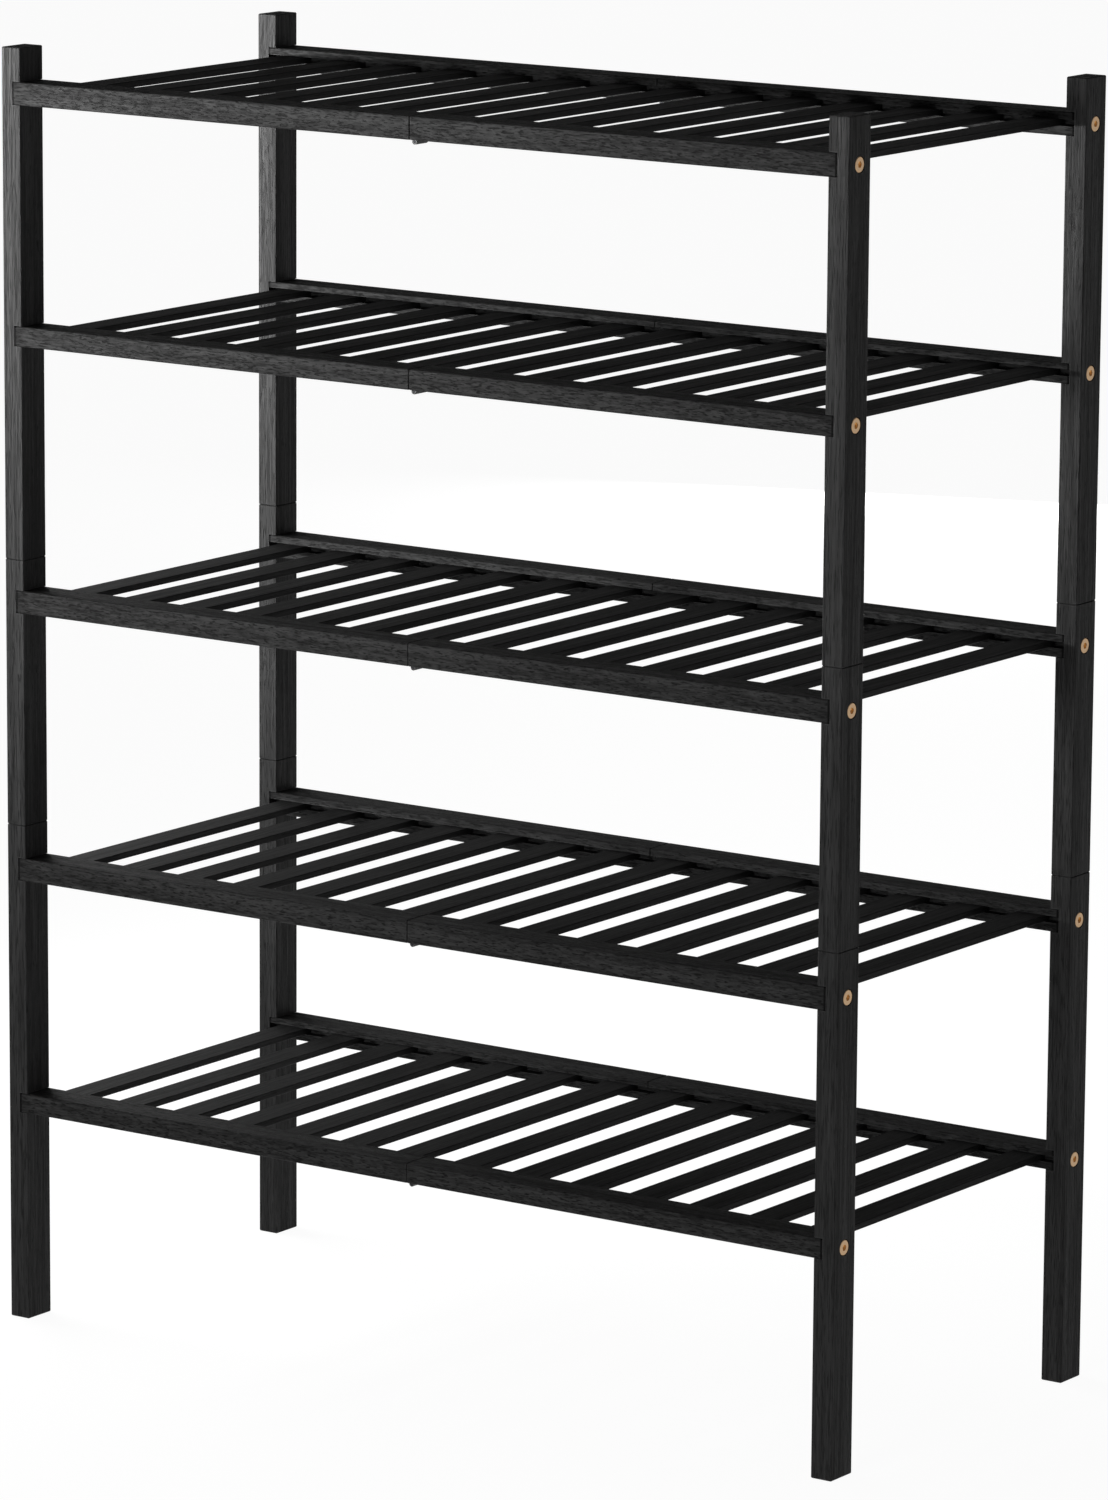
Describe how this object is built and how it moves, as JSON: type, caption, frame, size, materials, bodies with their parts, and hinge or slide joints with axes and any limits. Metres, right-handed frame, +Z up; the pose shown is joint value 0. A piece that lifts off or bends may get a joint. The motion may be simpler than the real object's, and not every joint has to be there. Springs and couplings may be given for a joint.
{
  "type": "tiered shoe rack",
  "caption": "Slatted wooden shoe rack in stacking modules: bolted posts, grooved folding rails and open shelves.",
  "frame": {"origin": "on the floor, at the middle of the four feet's footprint", "axes": "+X along the shelves, +Y to the back, +Z up; the front is the -Y side"},
  "size_m": [0.69, 0.315, 0.8975],
  "materials": {
    "post_wood": "black stain, satin lacquer",
    "rail_wood": "black stain, satin lacquer",
    "slat_wood": "black stain, satin lacquer",
    "bronzed_steel": "bronze plated",
    "zinc_inserts": "zinc plated",
    "black_hinge_steel": "black lacquered steel",
    "hinge_pin_steel": "drawn steel",
    "black_screw_steel": "black zinc plated",
    "dowel_beech": "plain, unfinished"
  },
  "bodies": {
    "base": {"front_left_post_base": "post_wood", "front_right_post_base": "post_wood", "furniture_bolts_base": "bronzed_steel", "hinge_leaves_left_base": "black_hinge_steel", "hinge_leaves_right_base": "black_hinge_steel", "hinge_pins_base": "hinge_pin_steel", "hinge_screws_base": "black_screw_steel", "insert_nuts_base": "zinc_inserts", "rear_left_post_base": "post_wood", "rear_right_post_base": "post_wood", "shelf_1_front_rail_left": "rail_wood", "shelf_1_front_rail_right": "rail_wood", "shelf_1_rear_rail_left": "rail_wood", "shelf_1_rear_rail_right": "rail_wood", "shelf_1_slats": "slat_wood", "shelf_2_front_rail_left": "rail_wood", "shelf_2_front_rail_right": "rail_wood", "shelf_2_rear_rail_left": "rail_wood", "shelf_2_rear_rail_right": "rail_wood", "shelf_2_slats": "slat_wood", "stacking_dowels_base": "dowel_beech"},
    "middle": {"front_left_post_middle": "post_wood", "front_right_post_middle": "post_wood", "furniture_bolts_middle": "bronzed_steel", "hinge_leaves_left_middle": "black_hinge_steel", "hinge_leaves_right_middle": "black_hinge_steel", "hinge_pins_middle": "hinge_pin_steel", "hinge_screws_middle": "black_screw_steel", "insert_nuts_middle": "zinc_inserts", "rear_left_post_middle": "post_wood", "rear_right_post_middle": "post_wood", "shelf_3_front_rail_left": "rail_wood", "shelf_3_front_rail_right": "rail_wood", "shelf_3_rear_rail_left": "rail_wood", "shelf_3_rear_rail_right": "rail_wood", "shelf_3_slats": "slat_wood", "stacking_dowels_middle": "dowel_beech"},
    "top": {"front_left_post_top": "post_wood", "front_right_post_top": "post_wood", "furniture_bolts_top": "bronzed_steel", "hinge_leaves_left_top": "black_hinge_steel", "hinge_leaves_right_top": "black_hinge_steel", "hinge_pins_top": "hinge_pin_steel", "hinge_screws_top": "black_screw_steel", "insert_nuts_top": "zinc_inserts", "rear_left_post_top": "post_wood", "rear_right_post_top": "post_wood", "shelf_4_front_rail_left": "rail_wood", "shelf_4_front_rail_right": "rail_wood", "shelf_4_rear_rail_left": "rail_wood", "shelf_4_rear_rail_right": "rail_wood", "shelf_4_slats": "slat_wood", "shelf_5_front_rail_left": "rail_wood", "shelf_5_front_rail_right": "rail_wood", "shelf_5_rear_rail_left": "rail_wood", "shelf_5_rear_rail_right": "rail_wood", "shelf_5_slats": "slat_wood"}
  },
  "joints": [
    {"name": "middle_lift", "type": "slide", "parent": "base", "child": "middle", "axis": [0, 0, 1], "range_m": [0, 0.06]},
    {"name": "top_lift", "type": "slide", "parent": "middle", "child": "top", "axis": [0, 0, 1], "range_m": [0, 0.06]}
  ]
}
